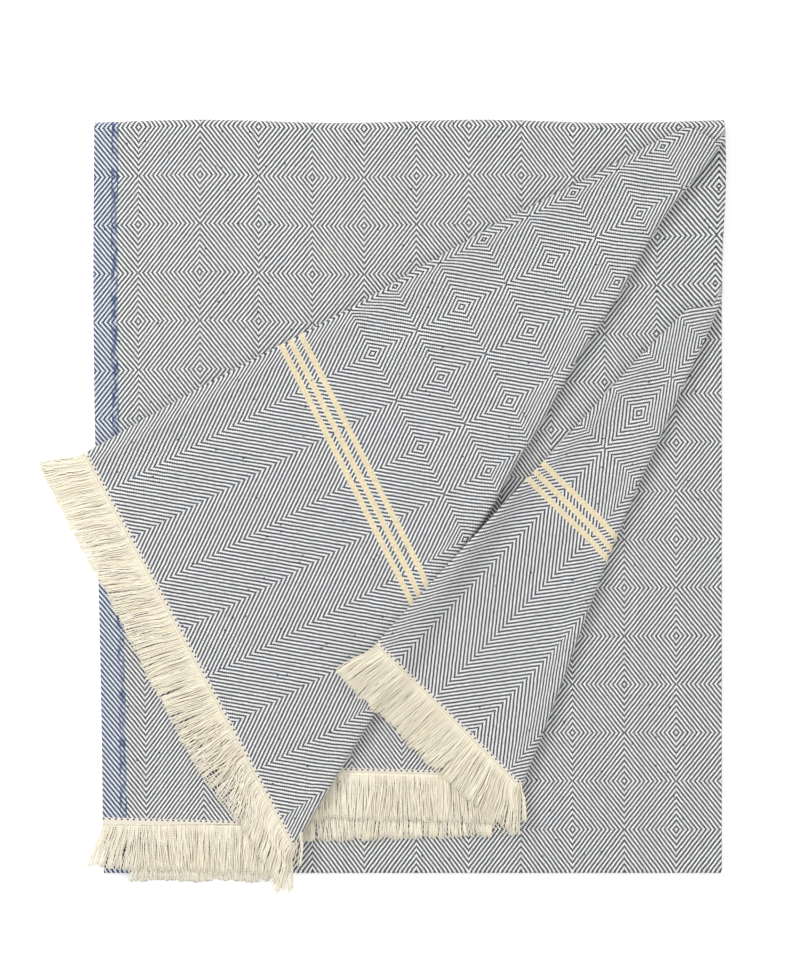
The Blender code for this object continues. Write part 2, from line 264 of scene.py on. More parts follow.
@dataclass(frozen=True)
class FoldPlan:
    """How the flat sheet is folded in half, then in four, with two corners turned back."""

    cloth_width: float = 0.900
    ply_thickness: float = 0.0012
    ply_gap: float = 0.00035
    end_1_skew: float = -0.025
    end_2_skew: float = -0.028
    pack_width: float = 0.450
    pack_length: float = 0.5436
    end_1_y: float = -0.2444
    end_2_y: float = -0.2053
    side_offset: float = 0.0015
    inner_head_inset: float = 0.003
    climb_sway: float = -0.007
    climb_start: float = 0.0055
    climb_length: float = 0.020
    climb_room: float = 0.0003
    swell: float = 0.030
    swell_length: float = 0.230
    swell_slant: float = 0.4
    fold_fullness: float = 0.06
    selvedge_thinning: float = 0.05
    edge_reach: float = 0.035
    head_bow: float = 0.0012
    head_bow_length: float = 0.200
    hang: float = 3.0
    foot_sag: float = 0.0020
    foot_sag_y: float = -0.256
    foot_sag_reach: float = 0.030
    drawn_in: Rows = (
        (0.0, 0.0055), (0.40, -0.0012), (0.60, 0.0), (1.05, 0.0058), (1.58, 0.0), (2.07, 0.009),
    )
    drawn_in_from: float = -0.090
    drawn_in_reach: float = 0.130
    side_ease: float = 0.0008
    side_bulge: float = 0.0028
    side_bulge_y: float = 0.236
    side_bulge_reach: float = 0.075
    side_bulge_from: float = 0.120
    corner_draw: float = 0.019
    corner_draw_from: float = 0.330
    corner_draw_width: float = 0.120
    corner_draw_reach: float = 0.110
    roll_radius: float = 0.0020
    roll_reach: float = 0.018
    roll_fade: float = 0.050

    @property
    def pitch(self) -> float:
        """From one ply to the next."""
        return self.ply_thickness + self.ply_gap

    @property
    def pair_half(self) -> float:
        """Half the thickness of a pair of plies."""
        return self.pitch / 2 + self.ply_thickness / 2

    @property
    def right(self) -> float:
        """The x of the pack's right edge."""
        return self.pack_width / 2

    @property
    def head(self) -> float:
        """The y of the pack's head."""
        return self.pack_length / 2

    @property
    def side_radius(self) -> float:
        """The radius of the fold across the width."""
        return self.pitch / 2

    @property
    def side_arc(self) -> float:
        """Half the length of cloth in the fold across the width."""
        return math.pi * self.side_radius / 2

    @property
    def side_centre(self) -> float:
        """The x of the middle of the fold across the width."""
        return self.right - self.ply_thickness / 2 - self.side_radius

    @property
    def outer_radius(self) -> float:
        """The radius of the fold at the head that holds the other layers."""
        return 3 * self.pitch

    @property
    def inner_radius(self) -> float:
        """The radius of the two other folds along the length."""
        return self.pitch

    @property
    def outer_head_y(self) -> float:
        """Where the outer fold at the head starts."""
        return self.head - self.outer_radius - self.pair_half

    @property
    def inner_head_y(self) -> float:
        """Where the inner fold at the head starts."""
        return self.outer_head_y - self.inner_head_inset

    @property
    def foot_y(self) -> float:
        """Where the fold at the foot starts."""
        return -self.head + self.inner_radius + self.pair_half

    @property
    def top_z(self) -> float:
        """The height of the middle of end panel 1."""
        return self.pair_half + 6 * self.pitch

    @property
    def sections(self) -> tuple[tuple[float, float, int], ...]:
        """For each section of the length: its length, its radius, and the turn of a fold."""
        rows = (
            (self.outer_head_y - self.end_1_y, 0),
            (self.outer_radius, -1),
            (self.outer_head_y - self.foot_y, 0),
            (self.inner_radius, -1),
            (self.inner_head_y - self.foot_y, 0),
            (self.inner_radius, 1),
            (self.inner_head_y - self.end_2_y, 0),
        )
        return tuple((math.pi * size if turn else size, size, turn) for size, turn in rows)

    @property
    def length(self) -> float:
        """The length of the sheet between its two hems, along its middle."""
        return sum(length for length, _, _ in self.sections)

    @property
    def panel_1_stop(self) -> float:
        """The v at which end panel 1 stops."""
        return self.sections[0][0]

    @property
    def panel_2_start(self) -> float:
        """The v at which end panel 2 starts."""
        return self.length - self.sections[-1][0]

    @property
    def creases(self) -> dict[ClothEnd, Crease]:
        """The crease of each end panel."""
        return {
            ClothEnd.END_1: Crease(
                start=(self.right, self.outer_head_y), foot=(-0.0867, -0.2504), radius=0.0024,
                stretch=1.064, slide=0.0015, sways=(
                    (0.085, 0.090, -0.0080), (0.185, 0.085, -0.0070), (0.280, 0.095, -0.0055),
                    (0.395, 0.085, -0.0090),
                ),
                floor=self.top_z, outward=(-0.472, 0.882), spread=0.0541, most_spread=0.0178,
                spread_stop=0.437, edge_slope=0.604,
            ),
            ClothEnd.END_2: Crease(
                start=(self.right, 0.1544), foot=(0.0790, -0.2035), radius=0.0024,
                stretch=1.038, slide=0.0093, sways=((0.190, 0.190, -0.0048),),
                floor=self.top_z - 2 * self.pitch, outward=(-0.697, 0.717), spread=0.0445,
                most_spread=0.0118, spread_stop=0.333, edge_slope=0.408,
            ),
        }

    def hem(self, end: ClothEnd, u: Array) -> Array:
        """The v of one end's hem, which isn't quite square to the selvedges."""
        if end is ClothEnd.END_1:
            return self.end_1_skew * u
        return self.length + self.end_2_skew * u

    def roll(self, u: Array, v: Array) -> Array:
        """How much fuller than flat the fold across the width is, where a corner is turned back.

        Args:
            u: places across the width.
            v: places along the length.

        Returns:
            What is added to half the distance between the two plies.
        """
        first = smooth((self.panel_1_stop - v) / self.roll_fade)
        crease_2_v = self.length + self.end_2_y - self.creases[ClothEnd.END_2].start[1]
        second = smooth((v - crease_2_v) / self.roll_fade)
        near = 1 - smooth((np.abs(u - self.side_offset) - self.side_arc) / self.roll_reach)
        return (self.roll_radius - self.side_radius) * near * np.maximum(first, second)

    def fold_width(self, u: Array, n: Array, roll: Array) -> tuple[Array, Array]:
        """Folds the cloth in half.

        Args:
            u: places across the width.
            n: heights out of the face.
            roll: how much fuller than flat the fold is.

        Returns:
            x, and the height above the pair's middle.
        """
        across = u - self.side_offset
        angle = across / self.side_radius
        radius = self.side_radius + n
        bent = np.abs(across) < self.side_arc
        x = np.where(
            bent,
            self.side_centre - roll + (radius + roll) * np.cos(angle),
            self.side_centre - roll + self.side_arc - np.abs(across),
        )
        height = np.where(bent, -(radius + roll) * np.sin(angle), -np.copysign(radius + roll, across))
        return x, height

    def fold_length(self, v: Array, height: Array) -> tuple[Array, Array]:
        """Folds the pair along its length.

        Args:
            v: places along the length.
            height: heights above the pair's middle.

        Returns:
            y and z.
        """
        y, z, heading, passed = self.end_1_y, self.top_z, 0.0, 0.0
        out_y, out_z = np.zeros_like(v), np.zeros_like(v)
        for index, (length, size, turn) in enumerate(self.sections):
            last = index == len(self.sections) - 1
            step = v - passed
            here = (step > 0) if index else np.ones(v.shape, bool)
            if not last and turn:
                step = np.minimum(step, length)
            end = heading + (turn * step / size if turn else 0.0)
            if turn:
                mid_y = y - turn * size * math.sin(heading) + turn * size * np.sin(end)
                mid_z = z + turn * size * math.cos(heading) - turn * size * np.cos(end)
            else:
                mid_y = y + step * math.cos(heading)
                mid_z = z + step * math.sin(heading)
            out_y = np.where(here, mid_y - height * np.sin(end), out_y)
            out_z = np.where(here, mid_z + height * np.cos(end), out_z)
            if turn:
                z += 2 * turn * size * math.cos(heading)
                heading += turn * math.pi
            else:
                y += length * math.cos(heading)
            passed += length
        return out_y, out_z

    def climb(self, flat: Array) -> Array:
        """How far corner 2 rises to pass over corner 1.

        Args:
            flat: rows of (x, y).

        Returns:
            The rise at each.
        """
        crease = self.creases[ClothEnd.END_1]
        _, s = crease.place(flat)
        s = s - self.climb_sway
        rise = crease.settled_rise + crease.rise(np.maximum(-s, 0.0) / crease.stretch) + self.climb_room
        return rise * smooth(1 - (s - self.climb_start) / self.climb_length)

    def lie(self, points: Array) -> Array:
        """Lets the pack lie as soft cloth does, the same for every ply.

        Args:
            points: rows of (x, y, z).

        Returns:
            The rows as they lie.
        """
        x, y, z = points.T
        bulge = self.side_ease + self.side_bulge * hump(y - self.side_bulge_y, self.side_bulge_reach)
        x = x + bulge * smooth((x - self.side_bulge_from) / (self.right - self.side_bulge_from))
        bow = self.head_bow * np.sin(2 * np.pi * x / self.head_bow_length)
        y = y + bow * smooth((y + self.head) / self.pack_length)
        slanted = 2 * np.pi * (x + self.swell_slant * y) / self.swell_length
        wave = np.sin(slanted) * np.cos(2 * np.pi * y / self.swell_length)
        full = np.maximum(hump(self.right - x, self.edge_reach), hump(self.head - y, self.edge_reach))
        thin = hump(x + self.right, self.edge_reach)
        z = z * (1 + self.swell * wave + self.fold_fullness * full - self.selvedge_thinning * thin)
        outside = np.maximum(-self.right - x, 0.0) ** 2 + np.maximum(-self.head - y, 0.0) ** 2
        return np.column_stack((x, y, z - self.hang * outside))

    def in_panel(self, end: ClothEnd, v: Array) -> Array:
        """Which places are on an end's panel."""
        return v < self.panel_1_stop if end is ClothEnd.END_1 else v > self.panel_2_start

    def straight_fold(self, sheet: Array) -> Array:
        """Carries the flat cloth into the pack as it is before the corners are turned back.

        Args:
            sheet: rows of (u, v, n).

        Returns:
            Rows of (x, y, z).
        """
        u, v, n = sheet.T
        x, height = self.fold_width(u, n, self.roll(u, v))
        y, z = self.fold_length(v, height)
        x = x + soft_table(self.drawn_in, v) * smooth((self.drawn_in_from - x) / self.drawn_in_reach)
        corner = smooth((u - self.corner_draw_from) / self.corner_draw_width)
        x = x + self.corner_draw * corner * hump(np.maximum(v, 0.0), self.corner_draw_reach)
        return np.column_stack((x, y, z))

    def fold(self, sheet: Array) -> Array:
        """Carries points of the flat cloth into the folded pack.

        Args:
            sheet: rows of (u, v, n).

        Returns:
            Rows of (x, y, z).
        """
        v = sheet[:, 1]
        roll = self.roll(sheet[:, 0], v)
        points = self.straight_fold(sheet)
        creases = self.creases
        first = self.in_panel(ClothEnd.END_1, v)
        second = self.in_panel(ClothEnd.END_2, v)
        turned = points.copy()
        if first.any():
            turned[first] = creases[ClothEnd.END_1].turn_back(points[first], roll[first])
            low = turned[first, 1]
            turned[first, 2] -= self.foot_sag * smooth((self.foot_sag_y - low) / self.foot_sag_reach)
        if second.any():
            _, past = creases[ClothEnd.END_2].place(points[second][:, :2])
            moved = creases[ClothEnd.END_2].turn_back(points[second], roll[second])
            moved[:, 2] += np.where(past > 0, self.climb(moved[:, :2]), 0.0)
            turned[second] = moved
        return self.lie(turned)

    def unfold(self, end: ClothEnd, ply: Ply, place: Array) -> Array:
        """Where a place on an end panel, before its corner is turned, lies on the flat cloth.

        Args:
            end: the end of the panel.
            ply: the ply.
            place: the place, as (x, y).

        Returns:
            Its (u, v, n), with n at 0.
        """
        u = self.side_offset + ply.value * (self.side_centre + self.side_arc - place[0])
        along = place[1] - self.end_1_y
        v = along if end is ClothEnd.END_1 else self.length + self.end_2_y - place[1]
        return np.array((u, v, 0.0))


@dataclass(frozen=True)
class CornerThreads:
    """How the threads lie on a turned corner, seen from above.

    Attributes:
        origin: the place of one crossing of reversals.
        origin_end: its end.
        origin_pick: its pick.
        end_way: the way across one half repeat of ends.
        pick_way: the way along one half repeat of picks.
        shown: the ply whose face is shown.
    """

    origin: tuple[float, float]
    origin_end: float
    origin_pick: float
    end_way: tuple[float, float]
    pick_way: tuple[float, float]
    shown: Ply
    end_repeat: float = 47.0
    pick_repeat: float = 34.0

    def count(self, place: Array) -> Array:
        """Numbers the threads at places on the corner.

        Args:
            place: rows of (x, y).

        Returns:
            Rows of (end, pick).
        """
        ways = np.column_stack((self.end_way, self.pick_way))
        steps = np.linalg.solve(ways, (place - np.array(self.origin)).T).T
        return np.array((self.origin_end, self.origin_pick)) + steps * (self.end_repeat, self.pick_repeat)


@dataclass(frozen=True)
class ThreadCount:
    """Where the ends and picks of the weave lie on the sheet.

    Attributes:
        plan: the fold plan.
        end_rows: rows of (distance from the left selvedge, number of the end).
        pick_rows: rows of (v, number of the pick from the last reversal at end 1).
        hidden_reach: over what width the count of a turned corner goes over into its lower ply's.
        edge_fullness: how many ends are taken up by the soft roll of a turned corner's edge.
        crease_fullness: how much cloth the soft roll beside a crease takes up.
    """

    plan: FoldPlan
    end_rows: Rows = (
        (-0.010, -12), (0.0, 0), (0.0318, 38), (0.0756, 93), (0.1176, 144), (0.1563, 191),
        (0.1935, 238), (0.2312, 285), (0.2690, 332), (0.3068, 379), (0.3440, 426),
        (0.3812, 473), (0.4182, 520), (0.4565, 567), (0.4989, 614), (0.5359, 661),
        (0.5746, 708), (0.900, 1134), (0.910, 1146),
    )
    pick_rows: Rows = (
        (-0.080, -303), (0.2308, 0), (0.5104, 272), (1.0930, 816), (1.4075, 1122),
        (1.6394, 1326), (1.8490, 1530), (2.150, 1823),
    )
    hidden_reach: float = 0.010
    edge_fullness: float = 3.2
    edge_reach: float = 0.011
    crease_fullness: float = 0.0028
    crease_reach: float = 0.012

    @property
    def corners(self) -> dict[ClothEnd, CornerThreads]:
        """The threads of the two turned corners."""
        return {
            ClothEnd.END_1: CornerThreads(
                origin=(-0.0269, 0.1031), origin_end=614, origin_pick=0,
                end_way=(0.0172, -0.0338), pick_way=(0.0321, 0.0167), shown=Ply.RIGHT_HALF,
            ),
            ClothEnd.END_2: CornerThreads(
                origin=(0.1414, 0.0356), origin_end=520, origin_pick=1530,
                end_way=(-0.0270, 0.0264), pick_way=(-0.0247, -0.0253), shown=Ply.LEFT_HALF,
            ),
        }

    def crease_roll(self, crease: Crease, past: Array) -> Array:
        """How much more cloth than seen from above lies between a place and the open panel.

        Args:
            crease: the crease.
            past: how far past the crease each place was before the turn.

        Returns:
            The cloth taken up by the roll.
        """
        distance = np.maximum(past - crease.arc, 0.0)
        bent = np.clip(crease.arc - past, 0.0, crease.arc)
        inside = bent - crease.radius * np.sin(bent / crease.radius)
        return self.crease_fullness * (1 - smooth(distance / self.crease_reach)) + inside

    def count(self, sheet: Array) -> Array:
        """Numbers the threads.

        Args:
            sheet: rows of (u, v, n).

        Returns:
            Rows of (end, pick, millimetres from the nearer hem).
        """
        u, v, _ = sheet.T
        plan = self.plan
        ends = np.interp(u + plan.cloth_width / 2, *zip(*self.end_rows))
        picks = np.interp(v, *zip(*self.pick_rows))
        threads = np.column_stack((ends, picks))
        before, after = plan.straight_fold(sheet), plan.fold(sheet)
        across = u - plan.side_offset
        near_edge = 1 - smooth(np.abs(across) / self.edge_reach)
        for end, corner in self.corners.items():
            crease = plan.creases[end]
            _, past = crease.place(before[:, :2])
            share = smooth(2 * past / crease.arc) * plan.in_panel(end, v)
            share *= smooth(1 + corner.shown.value * across / self.hidden_reach)
            place = after[:, :2] + np.outer(self.crease_roll(crease, past), crease.past)
            numbers = corner.count(place)
            numbers[:, 0] -= corner.shown.value * self.edge_fullness * near_edge
            threads += share[:, None] * (numbers - threads)
        from_hem = np.minimum(v - plan.hem(ClothEnd.END_1, u), plan.hem(ClothEnd.END_2, u) - v)
        return np.column_stack((threads, from_hem / MILLIMETRE))


def put(socket: bpy.types.NodeSocket, value: object) -> None:
    """Links a signal into a socket, or sets the socket's value.

    Args:
        socket: the socket.
        value: the signal or the value.
    """
    if isinstance(value, Signal):
        value.tree.links.new(value.output, socket)
    else:
        socket.default_value = value


class Signal:
    """The output of a shader node, with arithmetic that adds Math nodes."""

    def __init__(self, tree: bpy.types.NodeTree, output: bpy.types.NodeSocket) -> None:
        """Keeps the node tree and the output."""
        self.tree = tree
        self.output = output

    def math(self, operation: str, *others: "float | Signal") -> "Signal":
        """Adds a Math node with this number first.

        Args:
            operation: the node's operation.
            *others: its other inputs.

        Returns:
            The result.
        """
        node = self.tree.nodes.new("ShaderNodeMath")
        node.operation = operation
        for socket, value in zip(node.inputs, (self, *others)):
            put(socket, value)
        return Signal(self.tree, node.outputs[0])

    def __add__(self, other: "float | Signal") -> "Signal":
        """The sum."""
        return self.math("ADD", other)

    def __radd__(self, other: float) -> "Signal":
        """The sum, so that sum() works."""
        return self.math("ADD", other)

    def __sub__(self, other: "float | Signal") -> "Signal":
        """The difference."""
        return self.math("SUBTRACT", other)

    def __mul__(self, other: "float | Signal") -> "Signal":
        """The product."""
        return self.math("MULTIPLY", other)

    def held(self, low: float, high: float) -> "Signal":
        """The number, held from low to high."""
        return self.math("MAXIMUM", low).math("MINIMUM", high)

    def between(self, low: float, high: float) -> "Signal":
        """1 where the number is from low up to high, and 0 elsewhere."""
        return self.math("GREATER_THAN", low) * self.math("LESS_THAN", high)

    def onto(self, span: Span) -> "Signal":
        """Maps 0 to 1 onto a span."""
        return self.math("MULTIPLY_ADD", span[1] - span[0], span[0])


class Wiring:
    """The nodes of one material."""

    def __init__(self, name: str) -> None:
        """Makes a material without nodes.

        Args:
            name: its name.
        """
        self.material = bpy.data.materials.new(name)
        self.material.use_nodes = True
        self.tree = self.material.node_tree
        self.tree.nodes.clear()

    def node(self, kind: str, inputs: dict, output: int | str = 0, **settings: object) -> Signal:
        """Adds a node.

        Args:
            kind: the node's type.
            inputs: values and signals, by the names or numbers of its inputs.
            output: the output that is used.
            **settings: the node's properties.

        Returns:
            That output.
        """
        node = self.tree.nodes.new(kind)
        for name, value in settings.items():
            setattr(node, name, value)
        for name, value in inputs.items():
            put(node.inputs[name], value)
        return Signal(self.tree, node.outputs[output])

    def attribute(self, name: str) -> list[Signal]:
        """The three numbers of a mesh attribute."""
        source = self.node("ShaderNodeAttribute", {}, "Vector", attribute_name=name)
        split = self.node("ShaderNodeSeparateXYZ", {0: source})
        return [Signal(self.tree, output) for output in split.output.node.outputs]

    def blend(self, share: object, first: object, second: object, kind: str = "MIX") -> Signal:
        """Blends two colours by the share of the second."""
        inputs = {"Factor": share, 6: first, 7: second}
        return self.node("ShaderNodeMix", inputs, 2, data_type="RGBA", blend_type=kind)

    def shade(self, colour: object, number: Signal) -> Signal:
        """A colour, times a number."""
        grey = self.node("ShaderNodeCombineColor", {0: number, 1: number, 2: number})
        return self.blend(1.0, colour, grey, "MULTIPLY")

    def scatter(self, x: Signal, y: float | Signal) -> Signal:
        """A random number from 0 to 1 for each pair of numbers."""
        joined = self.node("ShaderNodeCombineXYZ", {0: x, 1: y})
        return self.node("ShaderNodeTexWhiteNoise", {"Vector": joined}, noise_dimensions="2D")

    def cloud(self, x: Signal, y: Signal, scale: float = 1.0, detail: float = 2.0) -> Signal:
        """A soft noise over two numbers."""
        inputs = {"Vector": self.node("ShaderNodeCombineXYZ", {0: x, 1: y}), "Scale": scale, "Detail": detail}
        return self.node("ShaderNodeTexNoise", inputs, noise_dimensions="2D")

    def finish(
        self, colour: Signal, height: Signal, depth: float, roughness: float, sheen: float,
    ) -> bpy.types.Material:
        """Joins a colour and a relief to a soft cotton surface.

        Args:
            colour: the colour.
            height: the relief, from 0 to 1.
            depth: how deep the relief is, in metres.
            roughness: the surface's roughness.
            sheen: the weight of its sheen.

        Returns:
            The material.
        """
        shader = self.node("ShaderNodeBsdfPrincipled", {
            "Base Color": colour,
            "Normal": self.node("ShaderNodeBump", {"Distance": depth, "Strength": 1.0, "Height": height}),
            "Roughness": roughness,
            "Specular IOR Level": COTTON_SPECULAR,
            "Sheen Weight": sheen,
            "Sheen Roughness": COTTON_SHEEN_ROUGHNESS,
        })
        put(self.tree.nodes.new("ShaderNodeOutputMaterial").inputs["Surface"], shader)
        return self.material


@dataclass(frozen=True)
class DiamondTwill:
    """The finish of the cloth: white warp and charcoal weft in a pointed twill, with painted shade in the
    gaps between its threads and painted light on their tops.

    Attributes:
        attribute: the mesh attribute that numbers the threads.
        last_pick: the pick of the last reversal at end 2.
        middle_end: the end about which the draft is mirrored.
        warp_share: how many of the four steps of the twill show the warp.
        first_point: the end of the first regular reversal.
        edge_point: the end of the reversal before it, edge_half ends away.
        selvedge_point: the end of the reversal next to the selvedge.
        stripe_starts: the far edge of each cream stripe, in picks past the last reversal.
        drift: how far a thread strays, in threads.
        slub: where the bluer lengths of the weft start, and how sharply.
        patch: where the bluer warp inside the selvedge band starts, and how sharply.
        speck_from: the draw from 0 to 1 from which a crossing is a dark speck.
        knots: where the knots of the last picks lie, in millimetres from the hem.
    """

    attribute: str = "threads"
    half_repeat_ends: int = 47
    half_repeat_picks: int = 34
    last_pick: int = 1530
    middle_end: int = 567
    twill_steps: int = 4
    warp_share: float = 2.06
    first_point: int = 144
    edge_point: int = 93
    edge_half: int = 51
    selvedge_point: int = 38
    stripe_starts: tuple[int, ...] = (40, 48, 55)
    stripe_picks: int = 4
    selvedge_ends: int = 21
    patched_ends: int = 6
    warp: Colour = (0.84, 0.84, 0.815, 1.0)
    weft: Colour = (0.052, 0.058, 0.070, 1.0)
    weft_blue: Colour = (0.030, 0.045, 0.095, 1.0)
    cream: Colour = (0.80, 0.69, 0.47, 1.0)
    blue_warp: Colour = (0.70, 0.75, 0.82, 1.0)
    mid_blue: Colour = (0.13, 0.18, 0.32, 1.0)
    navy: Colour = (0.026, 0.038, 0.085, 1.0)
    hem: Colour = (0.76, 0.70, 0.60, 1.0)
    drift: Span = (-0.35, 0.35)
    drift_scales: Span = (0.11, 0.13)
    patch_scales: Span = (0.31, 0.09)
    slub_scales: Span = (0.035, 5.31)
    warp_seed: float = 3.7
    weft_seed: float = 8.1
    cell_seed: float = 0.37
    warp_tones: Span = (0.93, 1.04)
    weft_tones: Span = (0.75, 1.30)
    # painted shade at the sides of every thread, in the gaps between threads, up to painted light on its top
    crown_shade_tones: Span = (0.80, 1.05)
    cell_tones: Span = (0.84, 1.06)
    slub: Span = (0.42, 2.4)
    patch: Span = (0.40, 4.0)
    speck_from: float = 0.9988
    hem_width: float = 2.6
    knots: Span = (1.1, 2.2)
    knots_for_each_end: float = 0.19
    knot_share: float = 0.34
    relief: float = 0.00006
    roughness: float = 0.88
    sheen: float = 0.10

    def draft(self, end: Signal) -> Signal:
        """The draft's number at an end: up and down between the reversals.

        Args:
            end: the number of the end.

        Returns:
            The draft's number.
        """
        steady = (end - self.first_point).math("PINGPONG", self.half_repeat_ends)
        edge = (end - self.edge_point).math("ABSOLUTE") * -1.0 + self.edge_half
        edge = edge - (end - self.selvedge_point).math("MINIMUM", 0.0) * 2.0
        inside = end.math("GREATER_THAN", self.first_point - 0.5)
        return edge + (steady - edge) * inside

    def treadling(self, pick: Signal) -> Signal:
        """The treadling's number at a pick, straight on past the last reversals."""
        held = pick.held(0.0, self.last_pick)
        return held.math("PINGPONG", self.half_repeat_picks) - (pick - held)

    def stripe(self, pick: Signal) -> Signal:
        """1 on the picks of the cream stripes, and 0 elsewhere."""
        back = (pick * -1.0).math("MAXIMUM", pick - self.last_pick)
        return sum(back.between(start - self.stripe_picks - 0.5, start - 0.5) for start in self.stripe_starts)

    def crown(self, ends: Signal, picks: Signal, weft_up: Signal) -> Signal:
        """How high the thread on top is at a place, from 0 at its sides to 1.

        Args:
            ends: the place, counted in ends.
            picks: the place, counted in picks.
            weft_up: 1 where the weft is on top.

        Returns:
            The height.
        """
        across = ends.math("FRACT") - 0.5
        along = picks.math("FRACT") - 0.5
        off = (across + (along - across) * weft_up).math("ABSOLUTE")
        return off * off * -4.0 + 1.0

    def threads(self, wire: Wiring, ends: Signal, picks: Signal) -> tuple[Signal, Signal]:
        """The colours of the two threads at a place.

        Args:
            wire: the material's nodes.
            ends: the place, counted in ends.
            picks: the place, counted in picks.

        Returns:
            The warp's colour and the weft's.
        """
        end, pick = ends.math("FLOOR"), picks.math("FLOOR")
        band = end.math("LESS_THAN", self.selvedge_ends - 0.5)
        inner = end.between(self.selvedge_ends - self.patched_ends - 0.5, self.selvedge_ends - 0.5)
        patch = wire.cloud(end * self.patch_scales[0], picks * self.patch_scales[1])
        patch = ((patch - self.patch[0]) * self.patch[1]).held(0.0, 1.0)
        pale = wire.shade(self.warp, wire.scatter(end, self.warp_seed).onto(self.warp_tones))
        pale = wire.blend(inner * patch, wire.blend(band, pale, self.blue_warp), self.mid_blue)
        slub = wire.cloud(ends * self.slub_scales[0], pick * self.slub_scales[1], detail=1.0)
        blue = ((slub - self.slub[0]) * self.slub[1]).held(0.0, 1.0)
        dark = wire.blend(blue, self.weft, self.weft_blue)
        dark = wire.shade(dark, wire.scatter(pick, self.weft_seed).onto(self.weft_tones))
        return pale, wire.blend(band, dark, self.navy)

    def make(self) -> bpy.types.Material:
        """Builds the woven finish.

        Returns:
            The material.
        """
        wire = Wiring("diamond_twill")
        ends, picks, from_hem = wire.attribute(self.attribute)
        ends = (ends - self.middle_end).math("ABSOLUTE") * -1.0 + self.middle_end
        ends = ends + wire.cloud(ends, picks, self.drift_scales[0]).onto(self.drift)
        picks = picks + wire.cloud(picks, ends, self.drift_scales[1]).onto(self.drift)
        end, pick = ends.math("FLOOR"), picks.math("FLOOR")
        shed = self.draft(end) + self.treadling(picks - 0.5)
        weft_up = (shed + 0.5).math("FLOORED_MODULO", self.twill_steps).math("GREATER_THAN", self.warp_share)
        crown = self.crown(ends, picks, weft_up)
        woven = wire.blend(weft_up, *self.threads(wire, ends, picks))
        inside = end.math("GREATER_THAN", self.selvedge_ends - 0.5)
        woven = wire.blend(self.stripe(pick) * inside, woven, self.cream)
        cell = wire.scatter(end, pick * self.cell_seed)
        # painted shade: each thread darker at its sides, in the gaps between threads, and lighter on its top;
        # the cell tones differ at random for each crossing
        woven = wire.shade(woven, crown.onto(self.crown_shade_tones) * cell.onto(self.cell_tones))
        woven = wire.blend(cell.math("GREATER_THAN", self.speck_from), woven, self.navy)
        woven = wire.blend(from_hem.math("LESS_THAN", self.hem_width), woven, self.hem)
        knot = (ends * self.knots_for_each_end).math("FRACT").math("LESS_THAN", self.knot_share)
        woven = wire.blend(from_hem.between(*self.knots) * knot, woven, self.navy)
        return wire.finish(woven, crown, self.relief, self.roughness, self.sheen)


@dataclass(frozen=True)
class NaturalYarn:
    """The finish of the fringe: undyed twisted cotton, with painted shade in the grooves of its twist and
    painted light on its plies.

    Attributes:
        attribute: the mesh attribute with (metres along the yarn, turn round it, tone).
        light: the colour of the palest yarns.
        deep: the colour of the darkest.
        twist_length: how far the ply runs along the yarn in one turn.
        groove_shade_tones: the painted shade in the groove between two plies, and the painted light on top of
            one.
        tone_share: how much of a yarn's colour is its own, and not its speckle.
    """

    attribute: str = "yarn"
    light: Colour = (0.98, 0.94, 0.82, 1.0)
    deep: Colour = (0.95, 0.86, 0.67, 1.0)
    twist_length: float = 0.0016
    groove_shade_tones: Span = (0.90, 1.04)
    tone_share: float = 0.65
    speckles_for_each_metre: float = 900.0
    speckle_spread: float = 60.0
    relief: float = 0.00015
    roughness: float = 0.9
    sheen: float = 0.15

    def make(self) -> bpy.types.Material:
        """Builds the yarn's finish.

        Returns:
            The material.
        """
        wire = Wiring("natural_yarn_finish")
        length, turn, tone = wire.attribute(self.attribute)
        groove = (length * (1 / self.twist_length) + turn).math("PINGPONG", 0.5) * 2.0
        speckle = wire.cloud(length * self.speckles_for_each_metre, tone * self.speckle_spread)
        share = speckle * (1 - self.tone_share) + tone * self.tone_share
        # painted shade in the grooves between the plies of the twist, and painted light on top of each ply
        colour = wire.shade(wire.blend(share, self.deep, self.light), groove.onto(self.groove_shade_tones))
        return wire.finish(colour, groove, self.relief, self.roughness, self.sheen)


